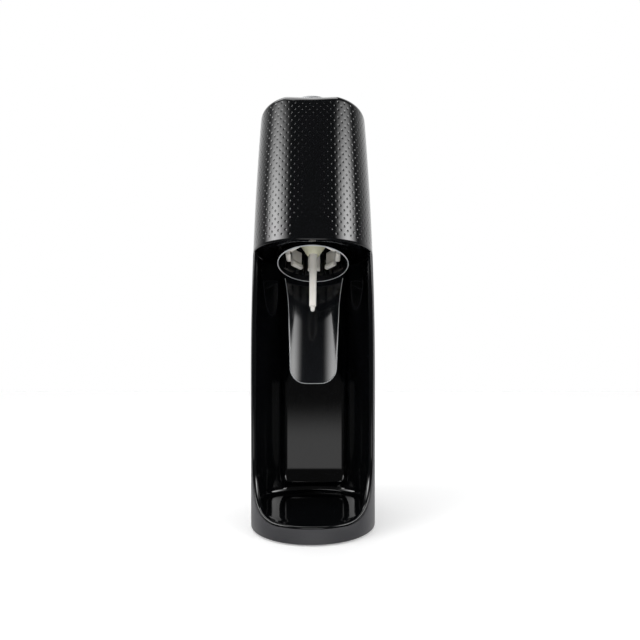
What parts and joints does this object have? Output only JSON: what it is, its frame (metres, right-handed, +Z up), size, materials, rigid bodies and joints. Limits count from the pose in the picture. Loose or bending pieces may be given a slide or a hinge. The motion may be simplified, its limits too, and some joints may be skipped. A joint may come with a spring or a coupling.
{
  "type": "soda carbonator",
  "caption": "Tall manual countertop soda carbonator: a tilting bottle holder with gripping jaws and a carbonating tube under a domed head, a push button on top and a gas cylinder behind.",
  "frame": {"origin": "on the table, under the middle of the machine", "axes": "+Z up, the front and its bottle bay face -Y, +X to the right seen from the front"},
  "size_m": [0.13, 0.185, 0.425],
  "materials": {
    "gloss_black": "polished piano black",
    "matte_charcoal": "fine satin grain",
    "smoke_gloss": "polished smoky black",
    "white_plastic": "smooth moulded",
    "ivory_silicone": "soft matt",
    "black_rubber": "matt",
    "chassis_black": "glass-filled, matt",
    "brass": "turned",
    "steel": "bright",
    "button_silver": "satin silver",
    "cylinder_paint": "smooth paint"
  },
  "bodies": {
    "housing": {"body_shell": "matte_charcoal", "head_cover": "gloss_black", "head_bezel": "gloss_black", "bay_liner": "gloss_black", "base_plate": "chassis_black", "foot_front_left": "black_rubber", "foot_front_right": "black_rubber", "foot_rear_left": "black_rubber", "foot_rear_right": "black_rubber", "base_screw_1": "steel", "base_screw_2": "steel", "base_screw_3": "steel", "base_screw_4": "steel", "frame_screw_1": "steel", "frame_screw_2": "steel", "mechanism_frame": "chassis_black", "cylinder_seat": "brass", "gas_hose": "white_plastic", "hose_nut": "brass", "hose_elbow": "brass", "tilt_pin_left": "steel", "tilt_pin_right": "steel", "lever_pin": "steel"},
    "rear_cover": {"rear_cover": "matte_charcoal"},
    "latch": {"latch_button": "matte_charcoal", "latch_spring": "steel"},
    "button": {"carbonating_button": "button_silver", "button_spring": "steel"},
    "lever": {"actuator_lever": "steel"},
    "push_pin": {"push_pin": "steel"},
    "cylinder_lift": {"seat_washer": "black_rubber"},
    "gas_cylinder": {"gas_cylinder": "cylinder_paint", "cylinder_valve": "brass"},
    "valve_stem": {"valve_stem": "steel"},
    "bottle_holder": {"collar": "gloss_black", "jaw_ring": "gloss_black", "bottle_seal": "ivory_silicone", "carbonating_tube": "white_plastic", "nozzle_tip": "white_plastic", "bottle_guide": "smoke_gloss", "carbonating_head": "chassis_black", "gas_riser": "steel", "relief_spring": "steel", "relief_cap": "brass", "burst_plug": "brass"},
    "relief_valve": {"relief_poppet": "brass"},
    "jaw_1": {"jaw_1": "white_plastic"},
    "jaw_2": {"jaw_2": "white_plastic"},
    "jaw_3": {"jaw_3": "white_plastic"},
    "jaw_4": {"jaw_4": "white_plastic"},
    "jaw_5": {"jaw_5": "white_plastic"},
    "jaw_6": {"jaw_6": "white_plastic"},
    "jaw_7": {"jaw_7": "white_plastic"},
    "jaw_8": {"jaw_8": "white_plastic"}
  },
  "joints": [
    {"name": "button_press", "type": "slide", "parent": "housing", "child": "button", "axis": [0, 0, -1], "range_m": [0, 0.0065], "stiffness_N_per_m": 1500, "springref_m": -0.002, "deforming": ["button_spring"]},
    {"name": "lever_turn", "type": "hinge", "parent": "housing", "child": "lever", "pos_m": [0, 0.075, 0.3912], "axis": [1, 0, 0], "range_deg": [0, 4]},
    {"name": "push_pin_travel", "type": "slide", "parent": "housing", "child": "push_pin", "axis": [0, 0, -1], "range_m": [0, 0.0016]},
    {"name": "collar_tilt", "type": "hinge", "parent": "housing", "child": "bottle_holder", "pos_m": [0, -0.029, 0.2928], "axis": [1, 0, 0], "range_deg": [0, 15.5]},
    {"name": "relief_lift", "type": "slide", "parent": "bottle_holder", "child": "relief_valve", "axis": [0, 0.2672, 0.9636], "range_m": [0, 0.0005], "stiffness_N_per_m": 8000, "springref_m": -0.0005},
    {"name": "cylinder_unscrew", "type": "hinge", "parent": "cylinder_lift", "child": "gas_cylinder", "pos_m": [0, 0.052, 0.358], "axis": [0, 0, -1], "range_deg": [0, 1260]},
    {"name": "cylinder_drop", "type": "slide", "parent": "housing", "child": "cylinder_lift", "axis": [0, 0, -1], "range_m": [0, 0.0141]},
    {"name": "valve_stem_travel", "type": "slide", "parent": "gas_cylinder", "child": "valve_stem", "axis": [0, 0, -1], "range_m": [0, 0.0016]},
    {"name": "rear_cover_off", "type": "slide", "parent": "housing", "child": "rear_cover", "axis": [0, 1, 0], "range_m": [0, 0.1]},
    {"name": "latch_press", "type": "slide", "parent": "rear_cover", "child": "latch", "axis": [0, 0, -1], "range_m": [0, 0.003], "stiffness_N_per_m": 600, "springref_m": -0.002, "deforming": ["latch_spring"]},
    {"name": "jaw_1_close", "type": "hinge", "parent": "bottle_holder", "child": "jaw_1", "pos_m": [0, -0.00191, 0.28944], "axis": [-1, 0, 0], "range_deg": [0, 4]},
    {"name": "jaw_2_close", "type": "hinge", "parent": "bottle_holder", "child": "jaw_2", "pos_m": [-0.01909, -0.00953, 0.29155], "axis": [-0.7071, -0.6814, 0.189], "range_deg": [0, 4]},
    {"name": "jaw_3_close", "type": "hinge", "parent": "bottle_holder", "child": "jaw_3", "pos_m": [-0.027, -0.02793, 0.29666], "axis": [0, -0.9636, 0.2672], "range_deg": [0, 4]},
    {"name": "jaw_4_close", "type": "hinge", "parent": "bottle_holder", "child": "jaw_4", "pos_m": [-0.01909, -0.04633, 0.30176], "axis": [0.7071, -0.6814, 0.189], "range_deg": [0, 4]},
    {"name": "jaw_5_close", "type": "hinge", "parent": "bottle_holder", "child": "jaw_5", "pos_m": [0, -0.05395, 0.30387], "axis": [1, 0, 0], "range_deg": [0, 4]},
    {"name": "jaw_6_close", "type": "hinge", "parent": "bottle_holder", "child": "jaw_6", "pos_m": [0.01909, -0.04633, 0.30176], "axis": [0.7071, 0.6814, -0.189], "range_deg": [0, 4]},
    {"name": "jaw_7_close", "type": "hinge", "parent": "bottle_holder", "child": "jaw_7", "pos_m": [0.027, -0.02793, 0.29666], "axis": [0, 0.9636, -0.2672], "range_deg": [0, 4]},
    {"name": "jaw_8_close", "type": "hinge", "parent": "bottle_holder", "child": "jaw_8", "pos_m": [0.01909, -0.00953, 0.29155], "axis": [-0.7071, 0.6814, -0.189], "range_deg": [0, 4]}
  ],
  "couplings": [
    {"joint": "lever_turn", "follows": "button_press", "rad_per_m": 10.526},
    {"joint": "push_pin_travel", "follows": "button_press", "ratio": 0.2421},
    {"joint": "valve_stem_travel", "follows": "button_press", "ratio": 0.2421},
    {"joint": "cylinder_drop", "follows": "cylinder_unscrew", "m_per_rad": 0.0006366},
    {"joint": "jaw_1_close", "follows": "collar_tilt", "ratio": 0.25},
    {"joint": "jaw_2_close", "follows": "collar_tilt", "ratio": 0.25},
    {"joint": "jaw_3_close", "follows": "collar_tilt", "ratio": 0.25},
    {"joint": "jaw_4_close", "follows": "collar_tilt", "ratio": 0.25},
    {"joint": "jaw_5_close", "follows": "collar_tilt", "ratio": 0.25},
    {"joint": "jaw_6_close", "follows": "collar_tilt", "ratio": 0.25},
    {"joint": "jaw_7_close", "follows": "collar_tilt", "ratio": 0.25},
    {"joint": "jaw_8_close", "follows": "collar_tilt", "ratio": 0.25}
  ]
}
